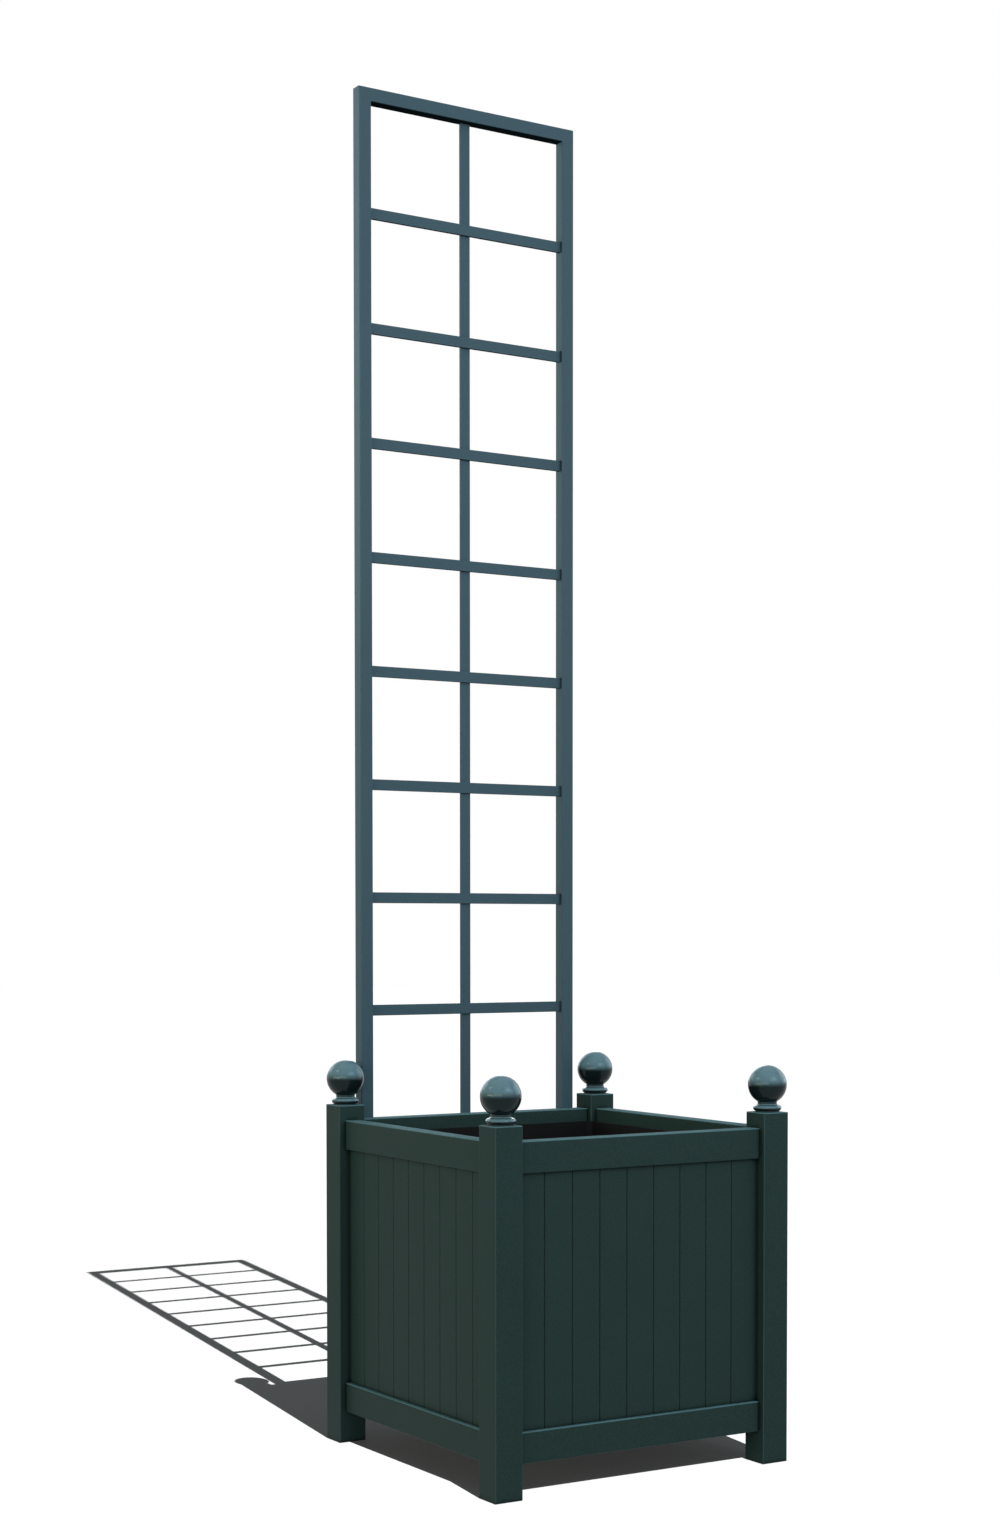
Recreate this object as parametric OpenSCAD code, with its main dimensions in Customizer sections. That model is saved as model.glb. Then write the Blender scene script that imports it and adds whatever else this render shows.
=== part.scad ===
// Versailles planter: a square panelled timber box on four posts with ball finials, a liner
// that lifts out of it, and a tall welded trellis screwed to the back of the box.
// Millimetres, +Z up. The front faces -Y and the trellis stands on the +Y side. The origin is
// on the floor, in the middle of the footprint of the box and the trellis together.

/* [Box] */
// Width and depth of the box over its posts
box_w = 600; // [520:2:800]
// Height of the posts without their finials
post_h = 616; // [560:1:760]
// Side of a square post
post_w = 53; // [50:0.5:64]
// Clear height under the bottom rails
foot_h = 56.5; // [30:0.5:90]
// Radius of the eased edges of the posts and rails
arris_r = 2.4; // [1:0.1:4]

/* [Rails] */
// Height of a top rail
top_rail_h = 53; // [46:0.5:64]
// Height of a bottom rail
bottom_rail_h = 53; // [46:0.5:64]
// Thickness of a rail
rail_t = 30; // [27:0.5:34]
// How far the rails' faces lie behind the posts' faces
rail_setback = 12; // [8:0.5:14]
// Drop from the top of the posts to the top of the rails
rail_drop = 27; // [20:1:60]

/* [Boards] */
// Number of boards in each side
board_count = 9; // [6:1:12]
// Thickness of a board
board_t = 12; // [10:0.5:13]
// How far the boards' faces lie behind the rails' faces
board_setback = 9; // [6:0.5:10]
// Depth of the housings that hold the boards in rails and posts
housing_d = 8; // [6:0.5:10]
// Thickness of a board's tongue
tongue_t = 4; // [3:0.5:5]
// Length of a board's tongue
tongue_l = 6; // [4:0.5:8]
// Width of the chamfers that make the V joints
v_chamfer = 1; // [0.5:0.1:2]
// Open joint between the shoulders of two boards
board_gap = 0.6; // [0.2:0.1:0.9]

/* [Finials] */
// Radius of a ball
ball_r = 34.3; // [28:0.1:40]
// Height at which a ball meets its neck
neck_h = 18; // [17:0.5:24]
// Radius of a neck
neck_r = 17.2; // [15:0.1:18]
// Radius of the cove under a neck
cove_r = 1.6; // [1:0.1:1.8]
// Height of the lip under a cove
lip_h = 1; // [0.6:0.1:1.2]
// Largest radius of the round collar under a lip
collar_r = 25; // [24:0.5:26]
// Height of a collar
collar_h = 10; // [8:0.5:11]
// Height of the foot under a collar
finial_foot_h = 1.8; // [1:0.1:2.2]
// How far the foot stands behind the collar
finial_foot_recess = 3.5; // [2:0.5:3.5]

/* [Dowels] */
// Diameter of a rail dowel
dowel_d = 8; // [6:0.5:9]
// Spacing of the two dowels in each end of a rail
dowel_pitch = 22; // [18:1:26]
// Depth of a dowel hole in a rail
dowel_in_rail = 31; // [20:1:40]
// Timber left between the dowel holes that meet in a post
dowel_wall = 2; // [1:0.5:5]
// Diameter of a finial dowel
finial_dowel_d = 10; // [8:0.5:12]
// Depth of the dowel hole in a finial
finial_dowel_up = 25; // [20:1:35]
// Depth of the finial dowel hole in a post
finial_dowel_down = 28; // [20:1:35]

/* [Base] */
// Width of a batten
batten_w = 25; // [20:1:32]
// Height of a batten
batten_h = 30; // [26:1:34]
// Rise of the battens' undersides over the bottom rails' undersides
batten_rise = 4; // [0:0.5:8]
// Number of floor slats
slat_count = 5; // [4:1:7]
// Thickness of a floor slat
slat_t = 18; // [15:1:22]
// Gap between two floor slats
slat_gap = 8; // [5:1:14]
// Radius of the eased edges of the battens and slats
base_arris_r = 1.5; // [0.5:0.1:3]

/* [Liner] */
// Drop from the top of the rails to the liner's rim
liner_drop = 23; // [10:1:60]
// Wall and floor thickness of the liner
liner_t = 3; // [2:0.5:5]
// Gap between the liner and the posts
liner_gap = 3; // [2:0.5:10]
// Outer radius of the liner's upright corners
liner_corner_r = 15; // [8:1:40]
// Diameter of a drain hole
drain_d = 12; // [8:1:20]

/* [Trellis] */
// Height of the trellis's top above the floor
trellis_top = 2466.5; // [1500:0.5:2800]
// Gap between the trellis and the posts beside it
trellis_gap = 15; // [5:0.5:40]
// Side of the square tube
tube_w = 25; // [23:0.5:30]
// Wall of the square tube
tube_t = 1.5; // [1:0.1:2]
// Outer corner radius of the square tube
tube_r = 2.2; // [1:0.1:3]
// Number of level laths
lath_count = 11; // [6:1:14]
// Height of a level lath, and width of the upright one
lath_h = 20; // [15:0.5:25]
// Thickness of a lath
lath_t = 6; // [4:0.5:6]
// Height of the lowest lath's underside above the floor
lath_foot = 151.3; // [130:0.1:200]
// Length of a lath's ends inside the tubes
lath_tenon = 8; // [4:0.5:12]
// Length by which a slot runs on in front of its lath
slot_spare = 6; // [1:0.5:6.5]
// Thickness of the flange of a tube's end cap
cap_t = 3; // [2:0.5:5]
// Length of an end cap's plug
cap_plug_l = 12; // [8:1:16]

/* [Screws] */
// Diameter of a trellis screw
trellis_screw_d = 6; // [5:0.5:8]
// Length of a trellis screw in the rail
trellis_screw_grip = 25; // [15:1:26]
// Diameter of a trellis screw's head
trellis_head_d = 13; // [11:0.5:16]
// Height of a trellis screw's head
trellis_head_h = 3; // [2:0.5:5]
// Diameter of a wood screw
wood_screw_d = 4.5; // [3.5:0.5:5.5]
// Length of a wood screw past the piece under its head
wood_screw_grip = 20; // [14:1:24]

/* [Hidden] */
$fn = 64;
// Clearances
glue_gap = 0.05; // around a dowel or a screw
end_gap = 1; // past the end of a dowel, a board's edge or a slat
slide_gap = 0.15; // beside a board, a tongue or a lath in its slot
cut_over = 1; // how far a cutter runs past the face that it opens

// Places that the sizes above decide
half_w = box_w / 2;
rail_len = box_w - 2 * post_w;
rail_face = half_w - rail_setback;
rail_back = rail_face - rail_t;
rail_mid = rail_face - rail_t / 2;
top_rail_z = post_h - rail_drop - top_rail_h;
top_rail_top = post_h - rail_drop;
bottom_rail_top = foot_h + bottom_rail_h;
top_core_mid = (top_rail_z + housing_d + top_rail_top) / 2;
bottom_core_mid = (foot_h + bottom_rail_top - housing_d) / 2;
dowel_in_post = post_w - rail_setback - rail_t / 2 - dowel_d / 2 - dowel_wall;
board_face = rail_face - board_setback;
board_z = bottom_rail_top - housing_d;
board_h = top_rail_z + housing_d - end_gap - board_z;
board_pitch = rail_len / board_count;
tongue_lo = (board_t - tongue_t) / 2;
tongue_hi = (board_t + tongue_t) / 2;
ball_z = neck_h + sqrt(ball_r * ball_r - neck_r * neck_r);
collar_mid = finial_foot_h + collar_h / 2;
collar_top = finial_foot_h + collar_h;
lip_top = collar_top + lip_h;
lip_r = neck_r + cove_r;
batten_z = foot_h + batten_rise;
batten_mid = rail_back - batten_w / 2;
slat_z = batten_z + batten_h;
slat_pitch = (rail_len - 2 * end_gap + slat_gap) / slat_count;
slat_w = slat_pitch - slat_gap;
liner_z = slat_z + slat_t;
liner_w = rail_len - 2 * liner_gap;
liner_h = top_rail_top - liner_drop - liner_z;
tube_half = rail_len / 2 - trellis_gap;
tube_inner_half = tube_half - tube_w;
tube_mid = rail_face + tube_w / 2;
tube_back = rail_face + tube_w;
stile_z = foot_h + cap_t;
stile_h = trellis_top - stile_z;
top_tube_z = trellis_top - tube_w;
lath_gap = (top_tube_z - lath_foot - lath_count * lath_h) / lath_count;
lath_pitch = lath_gap + lath_h;
lath_front = tube_mid - lath_t / 2;
lath_back = tube_mid + lath_t / 2;
lath_edge_r = 0.8;
screw_cone_h = wood_screw_d / 2;
screw_cone_r = wood_screw_d;
screw_x = tube_half - tube_w / 2;
front_reach = half_w + max(0, ball_r - post_w / 2);
back_reach = tube_back + trellis_head_h;
box_y = (front_reach - back_reach) / 2;

// Names of the corners with their directions, and of the sides with their turns about +Z
CORNERS = [
    ["front_left", -1, -1],
    ["front_right", 1, -1],
    ["back_left", -1, 1],
    ["back_right", 1, 1]
];
SIDES = [["front", 0], ["right", 90], ["back", 180], ["left", 270]];
ENDS = [["front", -1], ["back", 1]];
HANDS = [["left", -1], ["right", 1]];

PAINT = [0.17, 0.25, 0.25];
TUBE_PAINT = [0.24, 0.34, 0.37];
BARE_WOOD = [0.72, 0.58, 0.40];
BLACK = [0.07, 0.07, 0.07];
ZINC = [0.62, 0.64, 0.66];

// ---- Frames of reference ----

// The middle of the box, seen from the middle of the whole footprint
module on_box() { translate([0, box_y, 0]) children(); }

// A corner of the box, drawn at the back right
module on_corner(c) { on_box() mirror([c[1] < 0 ? 1 : 0, 0, 0]) mirror([0, c[2] < 0 ? 1 : 0, 0]) children(); }

// A side of the box, drawn at the front
module on_side(s) { on_box() rotate([0, 0, s[1]]) children(); }

// The left or right half of the trellis, drawn on the right
module on_hand(h) { on_box() mirror([h[1] < 0 ? 1 : 0, 0, 0]) children(); }

// ---- Shapes that repeat ----

// A rectangle with its four corners rounded, from the origin
module eased_rect(size, r) {
    difference() {
        square(size);
        for (x = [0, 1], y = [0, 1]) {
            translate([x * size[0], y * size[1]]) mirror([x, 0]) mirror([0, y]) difference() {
                translate([-cut_over, -cut_over]) square(r + cut_over);
                translate([r, r]) circle(r);
            }
        }
    }
}

// A profile in Y and Z, run along +X
module along_x(length) { rotate([90, 0, 90]) linear_extrude(length) children(); }

// A profile in X and Z, run along +Y
module along_y(length) { translate([0, length, 0]) rotate([90, 0, 0]) linear_extrude(length) children(); }

// A rod along +X, +Y or +Z, with its end on the origin
module rod_x(d, length) { rotate([0, 90, 0]) cylinder(d = d, h = length); }
module rod_y(d, length) { rotate([-90, 0, 0]) cylinder(d = d, h = length); }
module rod_z(d, length) { cylinder(d = d, h = length); }

// A block with all its edges eased, from the origin
module eased_block(size, r) {
    intersection() {
        linear_extrude(size[2]) eased_rect([size[0], size[1]], r);
        along_x(size[0]) eased_rect([size[1], size[2]], r);
        along_y(size[1]) eased_rect([size[0], size[2]], r);
    }
}

// Heights of the dowels in the ends of the rails
function dowel_heights() = [
    for (mid = [bottom_core_mid, top_core_mid], s = [-1, 1]) mid + s * dowel_pitch / 2
];

// A countersunk screw along -Z with its head's top on the origin, or its hole
module wood_screw(length, gap) {
    r = wood_screw_d / 2 + gap;
    translate([0, 0, -length]) cylinder(r = r, h = length);
    translate([0, 0, -screw_cone_h]) cylinder(r1 = r, r2 = screw_cone_r + gap, h = screw_cone_h);
}

// ---- Timber frame ----

module post(c) {
    color(PAINT) on_corner(c) difference() {
        translate([half_w - post_w, half_w - post_w, 0]) eased_block([post_w, post_w, post_h], arris_r);
        post_cuts();
        mirror([1, -1, 0]) post_cuts();
        translate([half_w - post_w / 2, half_w - post_w / 2, post_h - finial_dowel_down])
            rod_z(finial_dowel_d + 2 * glue_gap, finial_dowel_down + cut_over);
    }
}

// The board housing and the dowel holes in the face of a post that looks along -X
module post_cuts() {
    translate([rail_len / 2 - cut_over, board_face - board_t - slide_gap, board_z - slide_gap])
        cube([housing_d + cut_over, board_t + 2 * slide_gap, board_h + slide_gap + end_gap]);
    for (z = dowel_heights())
        translate([rail_len / 2 - cut_over, rail_mid, z])
            rod_x(dowel_d + 2 * glue_gap, dowel_in_post + cut_over);
}

// A rail at the front, with its board housing in the edge that faces the boards
module rail(z, h, housing_z, heights) {
    difference() {
        translate([-rail_len / 2, -rail_face, z]) eased_block([rail_len, rail_t, h], arris_r);
        translate([-rail_len / 2 - cut_over, -board_face - slide_gap, housing_z])
            cube([rail_len + 2 * cut_over, board_t + 2 * slide_gap, housing_d + cut_over]);
        for (s = [0, 1], dz = heights)
            mirror([s, 0, 0]) translate([rail_len / 2 - dowel_in_rail, -rail_mid, dz])
                rod_x(dowel_d + 2 * glue_gap, dowel_in_rail + cut_over);
    }
}

module top_rail(s) {
    heights = [for (z = dowel_heights()) if (z > top_rail_z) z];
    color(PAINT) difference() {
        on_side(s) rail(top_rail_z, top_rail_h, top_rail_z - cut_over, heights);
        trellis_screw_set(glue_gap);
    }
}

module bottom_rail(s) {
    heights = [for (z = dowel_heights()) if (z < top_rail_z) z];
    color(PAINT) difference() {
        on_side(s) rail(foot_h, bottom_rail_h, bottom_rail_top - housing_d, heights);
        trellis_screw_set(glue_gap);
        batten_screw_set(glue_gap);
    }
}

module rail_dowels() {
    length = dowel_in_rail + dowel_in_post - 2 * end_gap;
    color(BARE_WOOD) for (s = SIDES, x = [0, 1], z = dowel_heights())
        on_side(s) mirror([x, 0, 0]) translate([rail_len / 2 - dowel_in_rail + end_gap, -rail_mid, z])
            rod_x(dowel_d, length);
}

// ---- Boards ----

// The edges of a board from its face at 0 to its back, on the tongue's side and on the groove's
function tongue_edge(x) = [
    [x - v_chamfer, 0],
    [x, v_chamfer],
    [x, tongue_lo],
    [x + tongue_l, tongue_lo],
    [x + tongue_l, tongue_hi],
    [x, tongue_hi],
    [x, board_t]
];
function groove_edge(x) = [
    [x, board_t],
    [x, tongue_hi + slide_gap],
    [x + tongue_l, tongue_hi + slide_gap],
    [x + tongue_l, tongue_lo - slide_gap],
    [x, tongue_lo - slide_gap],
    [x, v_chamfer],
    [x + v_chamfer, 0]
];

// Board number i of a side, counted from its left end, where 0 and the last have one plain edge
function board_outline(i) =
    let (
        left = -rail_len / 2 + i * board_pitch,
        right = left + board_pitch,
        in_housing = housing_d - end_gap,
        plain_left = [[left - in_housing, board_t], [left - in_housing, 0]],
        plain_right = [[right + in_housing, 0], [right + in_housing, board_t]]
    )
    concat(
        i == board_count - 1 ? plain_right : tongue_edge(right - board_gap / 2),
        i == 0 ? plain_left : groove_edge(left + board_gap / 2)
    );

module boards(s) {
    color(PAINT) on_side(s) translate([0, -board_face, board_z]) for (i = [0:board_count - 1])
        linear_extrude(board_h) polygon(board_outline(i));
}

// ---- Finials ----

module finial(c) {
    color(PAINT) on_corner(c) translate([half_w - post_w / 2, half_w - post_w / 2, post_h]) difference() {
        rotate_extrude() finial_profile();
        translate([0, 0, -cut_over])
            rod_z(finial_dowel_d + 2 * glue_gap, finial_dowel_up + cut_over);
    }
}

// The right half of a finial's outline: ball, neck, cove and lip, round collar and foot
module finial_profile() {
    intersection() {
        union() {
            translate([0, ball_z]) circle(ball_r);
            square([neck_r, ball_z]);
            translate([0, lip_top]) difference() {
                square([lip_r, cove_r]);
                translate([lip_r, cove_r]) circle(cove_r);
            }
            square([lip_r, lip_top]);
            square([collar_r - collar_h / 2, collar_top]);
            translate([collar_r - collar_h / 2, collar_mid]) circle(collar_h / 2);
            square([collar_r - finial_foot_recess, collar_mid]);
        }
        square([2 * ball_r, ball_z + 2 * ball_r]);
    }
}

module finial_dowels() {
    color(BARE_WOOD) for (c = CORNERS) on_corner(c)
        translate([half_w - post_w / 2, half_w - post_w / 2, post_h - finial_dowel_down + end_gap])
            rod_z(finial_dowel_d, finial_dowel_down + finial_dowel_up - 2 * end_gap);
}

// ---- Base ----

function slat_x(i) = (i - (slat_count - 1) / 2) * slat_pitch;

module batten(e) {
    y = e[1] < 0 ? -rail_back : rail_back - batten_w;
    size = [rail_len - 2 * end_gap, batten_w, batten_h];
    color(BARE_WOOD) difference() {
        on_box() translate([-rail_len / 2 + end_gap, y, batten_z]) eased_block(size, base_arris_r);
        batten_screw_set(glue_gap);
        slat_screw_set(glue_gap);
    }
}

module floor_slat(i) {
    size = [slat_w, 2 * (rail_back - end_gap), slat_t];
    color(BARE_WOOD) difference() {
        on_box() translate([slat_x(i) - slat_w / 2, -rail_back + end_gap, slat_z])
            eased_block(size, base_arris_r);
        slat_screw_set(glue_gap);
    }
}

// Screws through the battens into the bottom rails, each between two slats, or their holes
module batten_screw_set(gap) {
    on_box() for (y = [-1, 1], i = [0:slat_count - 2])
        translate([slat_x(i + 0.5), y * (rail_back - batten_w), batten_z + batten_h / 2])
            rotate([y * 90, 0, 0]) wood_screw(batten_w + wood_screw_grip, gap);
}

// Screws through the slats into the battens, or their holes
module slat_screw_set(gap) {
    on_box() for (y = [-1, 1], i = [0:slat_count - 1])
        translate([slat_x(i), y * batten_mid, slat_z + slat_t]) wood_screw(slat_t + wood_screw_grip, gap);
}

module batten_screws() { color(ZINC) batten_screw_set(0); }

module slat_screws() { color(ZINC) slat_screw_set(0); }

// ---- Liner ----

module liner() {
    inner_w = liner_w - 2 * liner_t;
    color(BLACK) on_box() translate([0, 0, liner_z]) difference() {
        translate([-liner_w / 2, -liner_w / 2, 0]) linear_extrude(liner_h)
            eased_rect([liner_w, liner_w], liner_corner_r);
        translate([-inner_w / 2, -inner_w / 2, liner_t]) linear_extrude(liner_h)
            eased_rect([inner_w, inner_w], liner_corner_r - liner_t);
        for (i = [0:slat_count - 2], y = [-1, 1])
            translate([slat_x(i + 0.5), y * liner_w / 4, -cut_over]) rod_z(drain_d, liner_t + 2 * cut_over);
    }
}

// ---- Trellis ----

// The section of the square tube, from the origin
module tube_profile() {
    difference() {
        eased_rect([tube_w, tube_w], tube_r);
        translate([tube_t, tube_t]) square(tube_w - 2 * tube_t);
    }
}

function lath_z(k) = lath_foot + (lath_count - k) * lath_pitch;

module trellis_stile(h) {
    color(TUBE_PAINT) difference() {
        on_hand(h) intersection() {
            translate([tube_inner_half, rail_face, stile_z]) linear_extrude(stile_h) tube_profile();
            // the mitre at the top
            translate([tube_inner_half, rail_face, stile_z]) along_y(tube_w)
                polygon([[0, 0], [tube_w, 0], [tube_w, stile_h], [0, stile_h - tube_w]]);
        }
        trellis_screw_set(glue_gap);
        on_hand(h) for (k = [1:lath_count])
            translate([tube_inner_half - cut_over, lath_front - slot_spare, lath_z(k) - slide_gap])
                cube([tube_t + 2 * cut_over, slot_spare + lath_t + slide_gap, lath_h + 2 * slide_gap]);
    }
}

module trellis_top_tube() {
    color(TUBE_PAINT) on_box() difference() {
        intersection() {
            translate([-tube_half, rail_face, top_tube_z]) along_x(2 * tube_half) tube_profile();
            // the mitres at both ends
            translate([0, rail_face, top_tube_z]) along_y(tube_w) polygon([
                [-tube_inner_half, 0],
                [tube_inner_half, 0],
                [tube_half, tube_w],
                [-tube_half, tube_w]
            ]);
        }
        translate([-lath_h / 2 - slide_gap, lath_back - slide_gap, top_tube_z - cut_over])
            cube([lath_h + 2 * slide_gap, lath_t + 2 * slide_gap, tube_t + 2 * cut_over]);
    }
}

module trellis_lath(k) {
    length = 2 * (tube_inner_half + lath_tenon);
    color(TUBE_PAINT) on_box() translate([-length / 2, lath_front, lath_z(k)])
        along_x(length) eased_rect([lath_t, lath_h], lath_edge_r);
}

module trellis_centre_lath() {
    color(TUBE_PAINT) on_box() translate([-lath_h / 2, lath_back, lath_foot])
        linear_extrude(top_tube_z + lath_tenon - lath_foot) eased_rect([lath_h, lath_t], lath_edge_r);
}

// A plug with a flange, pushed into the open lower end of a stile
module trellis_cap(h) {
    plug_w = tube_w - 2 * tube_t - 2 * glue_gap;
    plug_in = tube_t + glue_gap;
    color(BLACK) on_hand(h) translate([tube_inner_half, rail_face, foot_h]) {
        linear_extrude(cap_t) eased_rect([tube_w, tube_w], tube_r);
        difference() {
            translate([plug_in, plug_in, 0]) cube([plug_w, plug_w, cap_t + cap_plug_l]);
            translate([plug_in + cap_t, plug_in + cap_t, cap_t])
                cube([plug_w - 2 * cap_t, plug_w - 2 * cap_t, cap_plug_l + cut_over]);
        }
    }
}

// Screws through the stiles into the two back rails, or their holes
module trellis_screw_set(gap) {
    on_box() for (x = [-screw_x, screw_x], z = [bottom_core_mid, top_core_mid])
        translate([x, rail_face - trellis_screw_grip, z]) {
            rod_y(trellis_screw_d + 2 * gap, trellis_screw_grip + tube_w);
            translate([0, trellis_screw_grip + tube_w, 0]) rod_y(trellis_head_d + 2 * gap, trellis_head_h);
        }
}

module trellis_screws() { color(ZINC) trellis_screw_set(0); }

// ---- The planter ----

for (c = CORNERS) post(c);
for (s = SIDES) top_rail(s);
for (s = SIDES) bottom_rail(s);
for (s = SIDES) boards(s);
rail_dowels();
for (c = CORNERS) finial(c);
finial_dowels();
for (e = ENDS) batten(e);
for (i = [1:slat_count]) floor_slat(i - 1);
batten_screws();
slat_screws();
liner();
for (h = HANDS) trellis_stile(h);
trellis_top_tube();
for (k = [1:lath_count]) trellis_lath(k);
trellis_centre_lath();
for (h = HANDS) trellis_cap(h);
trellis_screws();
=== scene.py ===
"""A versailles planter with a tall trellis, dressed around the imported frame.

This holds its finishes, small details, light and camera. Metres, in the frame of the CAD: +Z up, the
front faces -Y and the trellis stands on the +Y side.
"""
import math

import bmesh
import bpy
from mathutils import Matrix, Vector


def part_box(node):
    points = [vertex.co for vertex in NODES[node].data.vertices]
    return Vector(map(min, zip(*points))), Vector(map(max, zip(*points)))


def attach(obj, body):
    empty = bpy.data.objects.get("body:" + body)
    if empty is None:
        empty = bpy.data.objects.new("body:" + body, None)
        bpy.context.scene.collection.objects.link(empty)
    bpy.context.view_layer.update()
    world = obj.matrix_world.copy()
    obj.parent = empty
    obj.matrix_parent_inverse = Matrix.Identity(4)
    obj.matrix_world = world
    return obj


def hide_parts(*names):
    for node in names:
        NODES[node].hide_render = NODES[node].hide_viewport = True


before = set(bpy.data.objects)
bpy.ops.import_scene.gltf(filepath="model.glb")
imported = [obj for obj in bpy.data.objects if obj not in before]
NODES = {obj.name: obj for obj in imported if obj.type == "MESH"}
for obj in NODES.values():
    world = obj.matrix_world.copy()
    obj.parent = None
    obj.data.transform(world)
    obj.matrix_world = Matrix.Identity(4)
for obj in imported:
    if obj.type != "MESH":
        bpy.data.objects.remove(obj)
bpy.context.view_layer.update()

MM = 0.001

# ---- Places that come from the frame ----

CORNERS = ("front_left", "front_right", "back_left", "back_right")
SIDES = ("front", "right", "back", "left")


def box_centre():
    """The middle of the box on the floor, between two posts at opposite corners."""
    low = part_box("post_front_left")[0]
    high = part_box("post_back_right")[1]
    return Vector(((low.x + high.x) / 2, (low.y + high.y) / 2, 0))


CENTRE = box_centre()

# ---- Camera, solved from the photo's straight edges ----

PHOTO_SIZE = (1000, 1520)
FOCAL_PX = 2375.1
AXIS_PX = (534.8, 1014.2)
CAMERA_FROM_CENTRE = (-2.2815, -3.5808, 0.9375)
CAMERA_YAW_DEG = 32.087
CAMERA_PITCH_DEG = -2.071
SENSOR_MM = 36


def add_camera():
    data = bpy.data.cameras.new("camera")
    data.sensor_fit = "VERTICAL"
    data.sensor_height = SENSOR_MM
    data.lens = FOCAL_PX * SENSOR_MM / PHOTO_SIZE[1]
    data.shift_x = (PHOTO_SIZE[0] / 2 - AXIS_PX[0]) / PHOTO_SIZE[1]
    data.shift_y = (AXIS_PX[1] - PHOTO_SIZE[1] / 2) / PHOTO_SIZE[1]
    camera = bpy.data.objects.new("camera", data)
    camera.location = CENTRE + Vector(CAMERA_FROM_CENTRE)
    camera.rotation_euler = (math.radians(90 + CAMERA_PITCH_DEG), 0, math.radians(-CAMERA_YAW_DEG))
    bpy.context.collection.objects.link(camera)
    bpy.context.scene.camera = camera


# ---- Node materials ----

CREASE_SAMPLES = 12
# The largest part of a unit normal: at most the first on an eased edge, at least the second on a
# face along the axes
EASED_NORMAL = 0.75
FLAT_NORMAL = 0.98


class Shader:
    """A material whose nodes are added one by one."""

    def __init__(self, name):
        self.material = bpy.data.materials.new(name)
        self.material.use_nodes = True
        self.nodes = self.material.node_tree.nodes
        self.links = self.material.node_tree.links
        self.nodes.clear()
        self.output = self.nodes.new("ShaderNodeOutputMaterial")
        coordinates = self.nodes.new("ShaderNodeTexCoord")
        self.place = coordinates.outputs["Object"]

    def add(self, kind, inputs=None, **settings):
        """A node with its settings, and its inputs as values or as sockets to link."""
        node = self.nodes.new(kind)
        for key, value in settings.items():
            setattr(node, key, value)
        for key, value in (inputs or {}).items():
            socket = node.inputs[key]
            if isinstance(value, bpy.types.NodeSocket):
                self.links.new(value, socket)
            else:
                socket.default_value = value
        return node

    def scaled(self, scale):
        """The piece's own coordinates in metres, times a scale for each axis."""
        node = self.add("ShaderNodeVectorMath", {0: self.place, 1: scale}, operation="MULTIPLY")
        return node.outputs[0]

    def noise(self, scale, detail, roughness=0.5, stretch=(1, 1, 1)):
        inputs = {
            "Vector": self.scaled(stretch),
            "Scale": scale,
            "Detail": detail,
            "Roughness": roughness,
        }
        return self.add("ShaderNodeTexNoise", inputs).outputs["Fac"]

    def ranged(self, value, low, high, from_low=0.0, from_high=1.0):
        """The value, taken from one range to another and held inside it."""
        inputs = {
            "Value": value,
            "From Min": from_low,
            "From Max": from_high,
            "To Min": low,
            "To Max": high,
        }
        return self.add("ShaderNodeMapRange", inputs).outputs["Result"]

    def math(self, operation, a, b):
        return self.add("ShaderNodeMath", {0: a, 1: b}, operation=operation).outputs[0]

    def product(self, *values):
        total = values[0]
        for value in values[1:]:
            total = self.math("MULTIPLY", total, value)
        return total

    def mixed(self, factor, a, b):
        """A colour from a to b by the factor."""
        node = self.add("ShaderNodeMix", data_type="RGBA")
        for index, value in ((0, factor), (6, a), (7, b)):
            socket = node.inputs[index]
            if isinstance(value, bpy.types.NodeSocket):
                self.links.new(value, socket)
            else:
                socket.default_value = value
        return node.outputs[2]

    def bumped(self, height, distance, strength, normal=None):
        inputs = {"Height": height, "Distance": distance, "Strength": strength}
        if normal is not None:
            inputs["Normal"] = normal
        return self.add("ShaderNodeBump", inputs).outputs["Normal"]

    def upward(self):
        """How far the surface looks up, from -1 to 1."""
        normal = self.add("ShaderNodeNewGeometry").outputs["Normal"]
        return self.add("ShaderNodeSeparateXYZ", {0: normal}).outputs["Z"]

    def arrises(self):
        """1 on an eased edge that looks up, less on an upright one, 0 on the faces along the axes."""
        normal = self.add("ShaderNodeNewGeometry").outputs["Normal"]
        size = self.add("ShaderNodeVectorMath", {0: normal}, operation="ABSOLUTE").outputs[0]
        parts = self.add("ShaderNodeSeparateXYZ", {0: size}).outputs
        largest = self.math("MAXIMUM", self.math("MAXIMUM", parts[0], parts[1]), parts[2])
        eased = self.ranged(largest, low=1, high=0, from_low=EASED_NORMAL, from_high=FLAT_NORMAL)
        raised = self.ranged(self.upward(), low=0.3, high=1, from_low=0, from_high=0.5)
        return self.product(eased, raised)

    def creases(self, reach):
        """0 in the depth of a joint or corner, up to 1 where nothing stands within reach."""
        node = self.add("ShaderNodeAmbientOcclusion", {"Distance": reach}, samples=CREASE_SAMPLES)
        return node.outputs["AO"]

    def surface(self, **inputs):
        """A Principled surface. Underscores in the names stand for spaces."""
        named = {key.replace("_", " "): value for key, value in inputs.items()}
        node = self.add("ShaderNodeBsdfPrincipled", named)
        self.links.new(node.outputs[0], self.output.inputs["Surface"])
        return self.material


def rgba(red, green, blue):
    """A linear colour from its 0 to 255 screen values."""

    def linear(value):
        value /= 255
        return value / 12.92 if value <= 0.04045 else ((value + 0.055) / 1.055) ** 2.4

    return (linear(red), linear(green), linear(blue), 1)


def shade(colour, factor):
    return (colour[0] * factor, colour[1] * factor, colour[2] * factor, 1)


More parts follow.
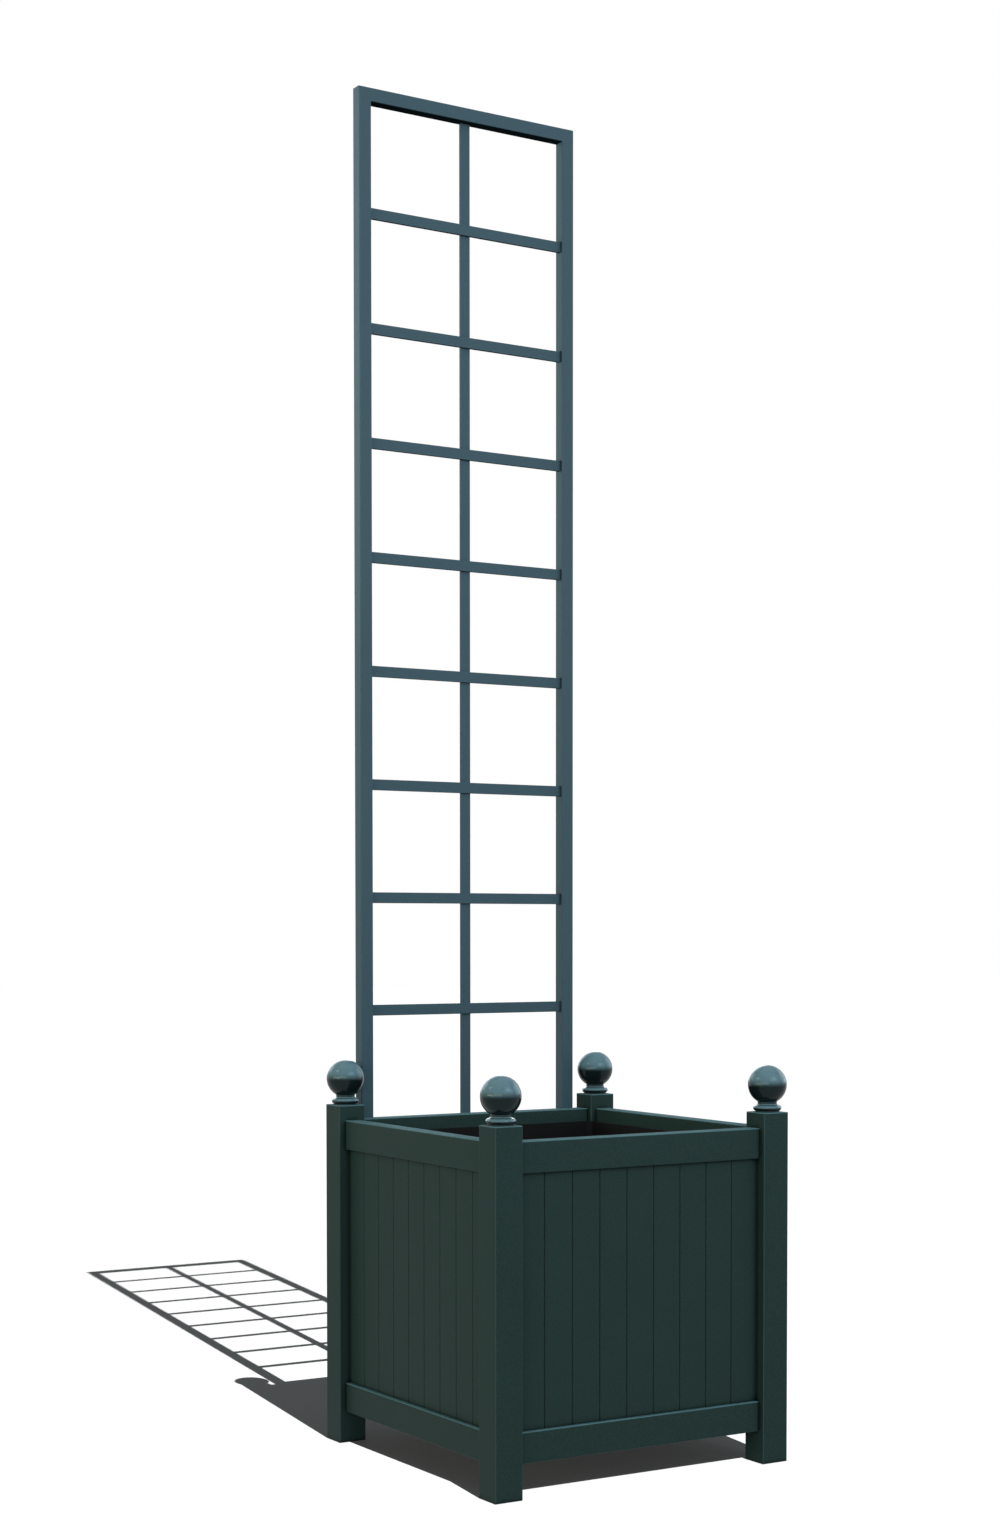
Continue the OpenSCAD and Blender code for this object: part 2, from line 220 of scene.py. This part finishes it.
PAINT = rgba(33, 48, 46)
GLOSS_PAINT = rgba(62, 82, 89)
COAT = rgba(52, 70, 78)
# The pale blue of the painted sky sheen on up-facing faces and of the painted arris highlights
SKY_SHEEN_PAINT = rgba(84, 114, 119)
PINE = rgba(176, 146, 104)
BEECH = rgba(205, 174, 128)
ZINC_DARK = rgba(165, 168, 172)
ZINC_LIGHT = rgba(205, 207, 208)
LINER_BLACK = rgba(9, 10, 10)
CAP_BLACK = rgba(20, 20, 20)

# Scales of the noise's coordinates: a small one draws it out, along the grain or around a turned piece
ALONG = {"x": (0.04, 1, 1), "y": (1, 0.04, 1), "z": (1, 1, 0.04)}
AROUND = (0.05, 0.05, 1)
# How far the painted shade reaches out of a joint, corner or crease
CREASE_SHADE_REACH = 14 * MM
# How far the posts' and rails' arrises are lightened towards the sky sheen colour: a painted highlight
ARRIS_HIGHLIGHT = 0.6
# The angle of the rings' wave over the noise's whole range, in radians: about 19 rings
RING_ANGLE = 120


def satin_paint(name, colour, grain, arris_highlight=0.0):
    """Satin paint over planed timber, whose grain runs along x, y or z.

    It has painted shade in its joints, corners and creases, a painted sky sheen in patches where it
    looks up, and painted highlights along its arrises, most where they look up.
    """
    s = Shader(name)
    clouds = s.ranged(s.noise(scale=7, detail=3), low=0.93, high=1.07)
    fine = s.noise(scale=420, detail=3, roughness=0.75)
    speckle = s.ranged(fine, low=0.72, high=1.28, from_low=0.25, from_high=0.75)
    # Painted shade: the colour darkens in joints, corners and creases, where nearby parts block light
    crease_shade = s.ranged(s.creases(CREASE_SHADE_REACH), low=0.12, high=1, from_low=0.3, from_high=0.85)
    brightest = 1.37
    tone = s.ranged(s.product(clouds, speckle, crease_shade), low=0, high=1, from_low=0, from_high=brightest)
    tinted = s.mixed(tone, shade(colour, 0), shade(colour, brightest))
    # Painted highlight: the eased arrises are lightened, most where they look up
    if arris_highlight:
        tinted = s.mixed(s.product(s.arrises(), arris_highlight), tinted, SKY_SHEEN_PAINT)
    fibres = s.noise(scale=260, detail=4, roughness=0.6, stretch=ALONG[grain])
    # Painted sky sheen: faces that look up are lightened in patches towards a pale blue
    up_facing = s.ranged(s.upward(), low=0, high=1, from_low=0.35, from_high=0.9)
    patches = s.noise(scale=30, detail=4, roughness=0.6)
    painted_top_sheen = s.product(up_facing, s.ranged(patches, low=0.40, high=0.62, from_low=0.3, from_high=0.7))
    tinted = s.mixed(painted_top_sheen, tinted, SKY_SHEEN_PAINT)
    pores = s.noise(scale=1300, detail=2, roughness=0.5)
    normal = s.bumped(fibres, distance=0.12 * MM, strength=0.5)
    normal = s.bumped(pores, distance=0.05 * MM, strength=0.6, normal=normal)
    return s.surface(
        Base_Color=tinted,
        Roughness=s.math("ADD", s.ranged(fibres, low=0.36, high=0.50), s.product(up_facing, 0.35)),
        Specular_IOR_Level=0.03,
        Specular_Tint=(0.75, 0.92, 1.0, 1),
        Normal=normal,
    )


def gloss_paint(name, colour):
    """Gloss paint over turned timber with faint rings from the lathe, and a painted reflection: light
    where it looks up, dark where it looks down.
    """
    s = Shader(name)
    clouds = s.ranged(s.noise(scale=24, detail=3), low=0, high=1)
    # Painted reflection: the colour is raised where the surface looks up and lowered where it looks
    # down, with a sharp change near the equator
    painted_reflection = s.ranged(s.upward(), low=0.10, high=1.5, from_low=-0.06, from_high=0.26)
    tinted = s.mixed(clouds, shade(colour, 0.88), shade(colour, 1.12))
    tinted = s.add("ShaderNodeVectorMath", {0: tinted, 1: painted_reflection}, operation="MULTIPLY").outputs[0]
    rings = s.noise(scale=500, detail=2, roughness=0.5, stretch=AROUND)
    smears = s.noise(scale=60, detail=4)
    return s.surface(
        Base_Color=tinted,
        Roughness=s.ranged(smears, low=0.08, high=0.18, from_low=0.35, from_high=0.65),
        Specular_IOR_Level=0.15,
        Specular_Tint=(0.72, 0.95, 0.92, 1),
        Normal=s.bumped(rings, distance=0.03 * MM, strength=0.4),
    )


def powder_coat(name, colour):
    """Satin powder coat on steel, with its fine orange peel, dull on the undersides, where painted
    shade darkens it.
    """
    s = Shader(name)
    clouds = s.ranged(s.noise(scale=5, detail=3), low=0.94, high=1.06)
    fine = s.noise(scale=1000, detail=2, roughness=0.7)
    speckle = s.ranged(fine, low=0.86, high=1.14, from_low=0.25, from_high=0.75)
    below = s.ranged(s.upward(), low=1, high=0, from_low=-0.9, from_high=-0.4)
    # Painted shade: the undersides are darkened to a small part of the coat's colour
    painted_underside_shade = s.ranged(below, low=1, high=0.12)
    brightest = 1.2
    tone = s.ranged(s.product(clouds, speckle, painted_underside_shade), low=0, high=1, from_low=0, from_high=brightest)
    tinted = s.mixed(tone, shade(colour, 0), shade(colour, brightest))
    peel = s.noise(scale=700, detail=2, roughness=0.5)
    return s.surface(
        Base_Color=tinted,
        Roughness=s.math("ADD", s.ranged(peel, low=0.50, high=0.60), s.product(below, 0.4)),
        Specular_IOR_Level=s.ranged(below, low=0.12, high=0),
        Specular_Tint=(0.7, 0.90, 1.0, 1),
        Normal=s.bumped(peel, distance=0.05 * MM, strength=0.5),
    )


def moulded_plastic(name, colour):
    """Matt moulded plastic with a fine grain and a faint haze."""
    s = Shader(name)
    patches = s.noise(scale=9, detail=4, roughness=0.6)
    haze = s.ranged(patches, low=0, high=1, from_low=0.3, from_high=0.7)
    tinted = s.mixed(haze, shade(colour, 0.85), shade(colour, 1.2))
    grain = s.noise(scale=1500, detail=2, roughness=0.5)
    return s.surface(
        Base_Color=tinted,
        Roughness=s.ranged(haze, low=0.55, high=0.7),
        Specular_IOR_Level=0.05,
        Normal=s.bumped(grain, distance=0.06 * MM, strength=0.6),
    )


def bare_timber(name, colour, grain):
    """Bare timber with its growth rings and pores, whose grain runs along x, y or z."""
    s = Shader(name)
    warp = s.noise(scale=3, detail=3, roughness=0.6, stretch=ALONG[grain])
    rings = s.math("SINE", s.product(warp, RING_ANGLE), 0)
    streaks = s.noise(scale=180, detail=4, roughness=0.7, stretch=ALONG[grain])
    ring_tone = s.ranged(rings, low=0, high=0.55, from_low=-1, from_high=1)
    streak_tone = s.ranged(streaks, low=0, high=0.45, from_low=0.3, from_high=0.7)
    tone = s.math("ADD", ring_tone, streak_tone)
    tinted = s.mixed(tone, shade(colour, 1.15), shade(colour, 0.62))
    return s.surface(
        Base_Color=tinted,
        Roughness=s.ranged(streaks, low=0.6, high=0.8),
        Specular_IOR_Level=0.3,
        Normal=s.bumped(streaks, distance=0.25 * MM, strength=0.6),
    )


def zinc(name):
    """Zinc plated steel, slightly clouded."""
    s = Shader(name)
    clouds = s.noise(scale=400, detail=3, roughness=0.6)
    return s.surface(
        Base_Color=s.mixed(clouds, ZINC_DARK, ZINC_LIGHT),
        Metallic=1.0,
        Roughness=s.ranged(clouds, low=0.25, high=0.42),
    )


def make_finishes():
    """The material of each node, by its name."""
    paint = {axis: satin_paint(f"painted_timber_{axis}", PAINT, axis, ARRIS_HIGHLIGHT) for axis in ALONG}
    board_paint = satin_paint("painted_boards", PAINT, "z")
    timber = {axis: bare_timber(f"bare_timber_{axis}", PINE, axis) for axis in "xy"}
    gloss = gloss_paint("gloss_timber", GLOSS_PAINT)
    coat = powder_coat("coated_tube", COAT)
    beech = bare_timber("dowel_timber", BEECH, "z")
    plated = zinc("zinc_screw")
    finishes = {
        "rail_dowels": beech,
        "finial_dowels": beech,
        "batten_screws": plated,
        "slat_screws": plated,
        "trellis_screws": plated,
        "liner": moulded_plastic("liner_plastic", LINER_BLACK),
    }
    for corner in CORNERS:
        finishes["post_" + corner] = paint["z"]
        finishes["finial_" + corner] = gloss
    for side in SIDES:
        run = "x" if side in ("front", "back") else "y"
        finishes["top_rail_" + side] = paint[run]
        finishes["bottom_rail_" + side] = paint[run]
        finishes["boards_" + side] = board_paint
    for name in NODES:
        if name.startswith("batten_") and name not in finishes:
            finishes[name] = timber["x"]
        elif name.startswith("floor_slat_"):
            finishes[name] = timber["y"]
        elif name.startswith("trellis_cap_"):
            finishes[name] = moulded_plastic(name + "_plastic", CAP_BLACK)
        elif name not in finishes:
            finishes[name] = coat
    return finishes


def dress_nodes(finishes):
    for name, node in NODES.items():
        node.data.materials.clear()
        node.data.materials.append(finishes[name])


# ---- Small pieces with more shape than the CAD's solids ----

SHARP_DEG = 40


def loft(bm, rings):
    """Bands of quads between rings of as many points each; the rows of new vertices are returned."""
    rows = [[bm.verts.new(point) for point in ring] for ring in rings]
    for low, high in zip(rows, rows[1:]):
        for i in range(len(low)):
            j = (i + 1) % len(low)
            bm.faces.new((low[i], low[j], high[j], high[i]))
    return rows


def loop_edges(bm, row):
    """The edges around a row of vertices."""
    edges = []
    for a, b in zip(row, row[1:] + row[:1]):
        edges.append(bm.edges.get((a, b)) or bm.edges.new((a, b)))
    return edges


def make_piece(name, bm, material, body, node):
    """A piece from its mesh, that rides on a body and stands for a CAD node."""
    bmesh.ops.recalc_face_normals(bm, faces=bm.faces)
    mesh = bpy.data.meshes.new(name)
    bm.to_mesh(mesh)
    bm.free()
    mesh.shade_smooth()
    mesh.set_sharp_from_angle(angle=math.radians(SHARP_DEG))
    mesh.materials.append(material)
    piece = bpy.data.objects.new(name, mesh)
    bpy.context.collection.objects.link(piece)
    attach(piece, body)
    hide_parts(node)


# Button-head screws with a hex socket, through the trellis's stiles
HEAD_R = 6.5 * MM
HEAD_H = 3 * MM
HEAD_RIM_H = 0.5 * MM
HEAD_FLAT_R = 3.1 * MM
SHANK_R = 3 * MM
SHANK_TIP = 1 * MM
SOCKET_HALF = 2 * MM
SOCKET_DEPTH = 1.7 * MM
TURN_STEPS = 48
DOME_STEPS = 6


def turned_ring(centre, radius, height):
    """Points around the Y axis through a centre."""
    turn = [2 * math.pi * i / TURN_STEPS for i in range(TURN_STEPS)]
    return [centre + Vector((radius * math.cos(a), height, radius * math.sin(a))) for a in turn]


def hex_ring(centre, half_width, height):
    """A hexagon around the Y axis, with as many points as a turned ring."""
    side = math.pi / 3
    points = []
    for i in range(TURN_STEPS):
        turn = 2 * math.pi * i / TURN_STEPS
        radius = half_width / math.cos(turn % side - side / 2)
        points.append(centre + Vector((radius * math.cos(turn), height, radius * math.sin(turn))))
    return points


def domed_head(seat):
    """Rings from the edge of a button head to the flat around its socket."""
    end = math.acos(HEAD_FLAT_R / HEAD_R)
    rings = []
    for i in range(DOME_STEPS + 1):
        turn = end * i / DOME_STEPS
        rise = (HEAD_H - HEAD_RIM_H) * math.sin(turn) / math.sin(end)
        rings.append(turned_ring(seat, HEAD_R * math.cos(turn), HEAD_RIM_H + rise))
    return rings


def add_trellis_screw(name, material, seat, tip):
    """A screw with its head on the seat, whose shank ends at the tip, measured along Y from there."""
    bm = bmesh.new()
    rows = loft(bm, [
        turned_ring(seat, SHANK_R - SHANK_TIP, tip),
        turned_ring(seat, SHANK_R, tip + SHANK_TIP),
        turned_ring(seat, SHANK_R, 0),
        turned_ring(seat, HEAD_R, 0),
        *domed_head(seat),
        hex_ring(seat, SOCKET_HALF, HEAD_H),
        hex_ring(seat, SOCKET_HALF, HEAD_H - SOCKET_DEPTH),
    ])
    bm.faces.new(rows[0])
    bm.faces.new(rows[-1])
    make_piece(name, bm, material, "planter", "trellis_screws")


def add_trellis_screws(material):
    low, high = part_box("trellis_screws")
    seat_y = high.y - HEAD_H
    for side, x in (("left", low.x + HEAD_R), ("right", high.x - HEAD_R)):
        for level, z in (("low", low.z + HEAD_R), ("high", high.z - HEAD_R)):
            seat = Vector((x, seat_y, z))
            add_trellis_screw(f"trellis_screw_{side}_{level}", material, seat, low.y - seat_y)


# The liner: straight walls with a round rim, a fillet around its floor and 8 drain holes
LINER_T = 3 * MM
LINER_CORNER_R = 15 * MM
LINER_BASE_R = 4 * MM
LINER_FILLET_R = 7 * MM
DRAIN_R = 6 * MM
CORNER_STEPS = 8
FILLET_STEPS = 6
DRAIN_STEPS = 32


def rounded_square(centre, half, radius, z):
    """Points around a level square with round corners."""
    points = []
    for quarter in range(4):
        turn = quarter * math.pi / 2
        x = centre.x + (half - radius) * (1 if quarter in (0, 3) else -1)
        y = centre.y + (half - radius) * (1 if quarter in (0, 1) else -1)
        for i in range(CORNER_STEPS + 1):
            a = turn + math.pi / 2 * i / CORNER_STEPS
            points.append(Vector((x + radius * math.cos(a), y + radius * math.sin(a), z)))
    return points


def liner_section(low_z, high_z):
    """The liner's section, from its underside up the outer wall, over the rim and down to its floor.

    Each point gives how far in from the outer wall it lies, and its height.
    """
    quarter = [math.pi / 2 * i / FILLET_STEPS for i in range(FILLET_STEPS + 1)]
    rim_r = LINER_T / 2
    rim_z = high_z - rim_r
    floor_z = low_z + LINER_T
    base = [
        (LINER_BASE_R * (1 - math.sin(a)), low_z + LINER_BASE_R * (1 - math.cos(a)))
        for a in quarter
    ]
    rim = [(rim_r * (1 - math.cos(2 * a)), rim_z + rim_r * math.sin(2 * a)) for a in quarter]
    fillet = [
        (LINER_T + LINER_FILLET_R * (1 - math.cos(a)), floor_z + LINER_FILLET_R * (1 - math.sin(a)))
        for a in quarter
    ]
    return base + rim + fillet


def drain_centres(centre, half):
    """The drain holes lie over the gaps between the floor's slats, in two rows."""
    slats = [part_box(name) for name in sorted(NODES) if name.startswith("floor_slat_")]
    middles = [(low.x + high.x) / 2 for low, high in slats]
    for a, b in zip(middles, middles[1:]):
        for y in (centre.y - half / 2, centre.y + half / 2):
            yield (a + b) / 2, y


def add_liner(material):
    low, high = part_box("liner")
    centre = (low + high) / 2
    half = (high.x - low.x) / 2
    bm = bmesh.new()
    rings = [
        rounded_square(centre, half - inset, LINER_CORNER_R - inset, z)
        for inset, z in liner_section(low.z, high.z)
    ]
    rows = loft(bm, rings)
    below, above = loop_edges(bm, rows[0]), loop_edges(bm, rows[-1])
    turns = [2 * math.pi * i / DRAIN_STEPS for i in range(DRAIN_STEPS)]
    for x, y in drain_centres(centre, half):
        hole = loft(bm, [
            [(x + DRAIN_R * math.cos(a), y + DRAIN_R * math.sin(a), z) for a in turns]
            for z in (low.z, low.z + LINER_T)
        ])
        below += loop_edges(bm, hole[0])
        above += loop_edges(bm, hole[1])
    for edges in (below, above):
        bmesh.ops.triangle_fill(bm, edges=edges, use_beauty=True, normal=(0, 0, 1))
    make_piece("planting_liner", bm, material, "liner", "liner")


# ---- Stage ----

FLOOR_HALF = 30.0
# The floor's colour to the rays that carry light from it to the object
FLOOR_ALBEDO = 0.0187
# The colour at which it looks white, near the object and far off, and where near ends and far begins
FLOOR_SEEN_NEAR = 0.0455
FLOOR_SEEN_FAR = 0.0473
FLOOR_NEAR = 2.0
FLOOR_FAR = 10.0
# How bright the darkest shadow looks, where 1 is white
SHADOW_LEVEL = 0.03
SHADOW_SUN_FROM = (-0.102, -0.666, 0.739)
SHADOW_SUN_STRENGTH = 90.0
SHADOW_SUN_ANGLE_DEG = 0.2
SKY_STRENGTH = 0.25
SKY_COLOUR = (0.80, 0.93, 1.0, 1)
WHITE = (1, 1, 1, 1)
# Soft lamps: name, place and aim from the middle of the box, width and height, radiance, colour
PANELS = (
    ("front", (1.2, -6.3, 3.2), (0, 0, 1.2), (7.5, 4.4), 1.65, (0.80, 0.93, 1.0)),
    ("near_front", (0.5, -2.7, 2.5), (0, 0, 1.0), (1.6, 1.2), 5.0, (0.86, 0.94, 1.0)),
    ("front_left", (-4.7, -4.5, 1.75), (0, 0, 0.9), (5.6, 1.6), 6.0, (0.90, 0.97, 0.98)),
    ("overhead", (0, -0.8, 5.5), (0, 0, 0), (6.0, 6.0), 1.2, (0.72, 0.90, 1.0)),
    ("low_left", (-4.5, -0.25, 1.08), (0, 0, 0.7), (3.2, 0.5), 12.5, (1.0, 0.96, 0.60)),
    ("high_left", (-1.9, 0.3, 2.1), (0, 0.3, 3.5), (0.5, 1.0), 14.0, (1.0, 0.98, 0.84)),
    ("back_left", (-2.6, 4.9, 3.4), (-0.3, 0.3, 1.9), (3.0, 2.4), 2.6, (0.92, 0.98, 1.0)),
    ("back", (1.6, 6.3, 3.0), (0, 0, 1.2), (6.0, 4.2), 2.3, (0.86, 0.95, 1.0)),
    ("right", (6.3, -0.6, 3.0), (0, 0, 1.2), (5.5, 4.2), 2.6, (0.86, 0.95, 1.0)),
)


def seen_or_mirrored(nodes, links):
    """1 for a ray that the camera sees, or that a reflection or glass passes on."""
    path = nodes.new("ShaderNodeLightPath")
    total = path.outputs["Is Camera Ray"]
    for name in ("Is Glossy Ray", "Is Transmission Ray"):
        larger = nodes.new("ShaderNodeMath")
        larger.operation = "MAXIMUM"
        links.new(total, larger.inputs[0])
        links.new(path.outputs[name], larger.inputs[1])
        total = larger.outputs[0]
    return total


def add_floor():
    """The floor, which looks as white as the background, also further off where less light falls.

    A faint glow, there for the camera and in reflections alone, sets how dark its shadow looks.
    """
    mesh = bpy.data.meshes.new("floor")
    corners = [(-1, -1), (1, -1), (1, 1), (-1, 1)]
    mesh.from_pydata([(x * FLOOR_HALF, y * FLOOR_HALF, 0) for x, y in corners], [], [(0, 1, 2, 3)])
    floor = bpy.data.objects.new("floor", mesh)
    bpy.context.collection.objects.link(floor)
    s = Shader("floor")
    distance = s.add("ShaderNodeVectorMath", {0: s.place}, operation="LENGTH").outputs["Value"]
    seen = s.ranged(distance, FLOOR_SEEN_NEAR, FLOOR_SEEN_FAR, FLOOR_NEAR, FLOOR_FAR)
    is_seen = seen_or_mirrored(s.nodes, s.links)
    spread = s.ranged(is_seen, FLOOR_ALBEDO, seen)
    colour = s.add("ShaderNodeCombineColor", {0: spread, 1: spread, 2: spread}).outputs[0]
    diffuse = s.add("ShaderNodeBsdfDiffuse", {"Color": colour}).outputs[0]
    glow = s.add("ShaderNodeEmission", {"Strength": s.ranged(is_seen, 0, SHADOW_LEVEL)}).outputs[0]
    both = s.add("ShaderNodeAddShader", {0: diffuse, 1: glow})
    s.links.new(both.outputs[0], s.output.inputs["Surface"])
    s.material.cycles.emission_sampling = "NONE"
    mesh.materials.append(s.material)
    return floor


def add_sky():
    world = bpy.data.worlds.new("sky")
    world.use_nodes = True
    nodes = world.node_tree.nodes
    links = world.node_tree.links
    nodes.clear()
    soft = nodes.new("ShaderNodeBackground")
    soft.inputs["Color"].default_value = SKY_COLOUR
    soft.inputs["Strength"].default_value = SKY_STRENGTH
    white = nodes.new("ShaderNodeBackground")
    white.inputs["Color"].default_value = WHITE
    either = nodes.new("ShaderNodeMixShader")
    output = nodes.new("ShaderNodeOutputWorld")
    links.new(seen_or_mirrored(nodes, links), either.inputs[0])
    links.new(soft.outputs[0], either.inputs[1])
    links.new(white.outputs[0], either.inputs[2])
    links.new(either.outputs[0], output.inputs["Surface"])
    bpy.context.scene.world = world


def add_panel(name, place, aim, size, radiance, colour):
    """A soft rectangular lamp that looks from its place at its aim, and that the camera doesn't see."""
    data = bpy.data.lights.new(name, "AREA")
    data.shape = "RECTANGLE"
    data.size, data.size_y = size
    data.energy = radiance * math.pi * size[0] * size[1]
    data.color = colour
    lamp = bpy.data.objects.new(name, data)
    lamp.location = CENTRE + Vector(place)
    direction = Vector(aim) - Vector(place)
    lamp.rotation_euler = direction.to_track_quat("-Z", "Y").to_euler()
    lamp.visible_camera = False
    bpy.context.collection.objects.link(lamp)


def add_shadow_sun(floor):
    """The lamp that draws the object's shadow on the floor, and lights only the floor."""
    data = bpy.data.lights.new("shadow_sun", "SUN")
    data.energy = SHADOW_SUN_STRENGTH
    data.angle = math.radians(SHADOW_SUN_ANGLE_DEG)
    lamp = bpy.data.objects.new("shadow_sun", data)
    lamp.rotation_euler = (-Vector(SHADOW_SUN_FROM)).to_track_quat("-Z", "Y").to_euler()
    bpy.context.collection.objects.link(lamp)
    lit = bpy.data.collections.new("lit_by_shadow_sun")
    lit.objects.link(floor)
    lamp.light_linking.receiver_collection = lit


def add_light(floor):
    add_sky()
    add_shadow_sun(floor)
    for panel in PANELS:
        add_panel(*panel)


# ---- The scene ----


def build():
    bpy.context.scene.view_settings.view_transform = "Standard"
    add_camera()
    add_light(add_floor())
    finishes = make_finishes()
    dress_nodes(finishes)
    add_trellis_screws(finishes["trellis_screws"])
    add_liner(finishes["liner"])


build()
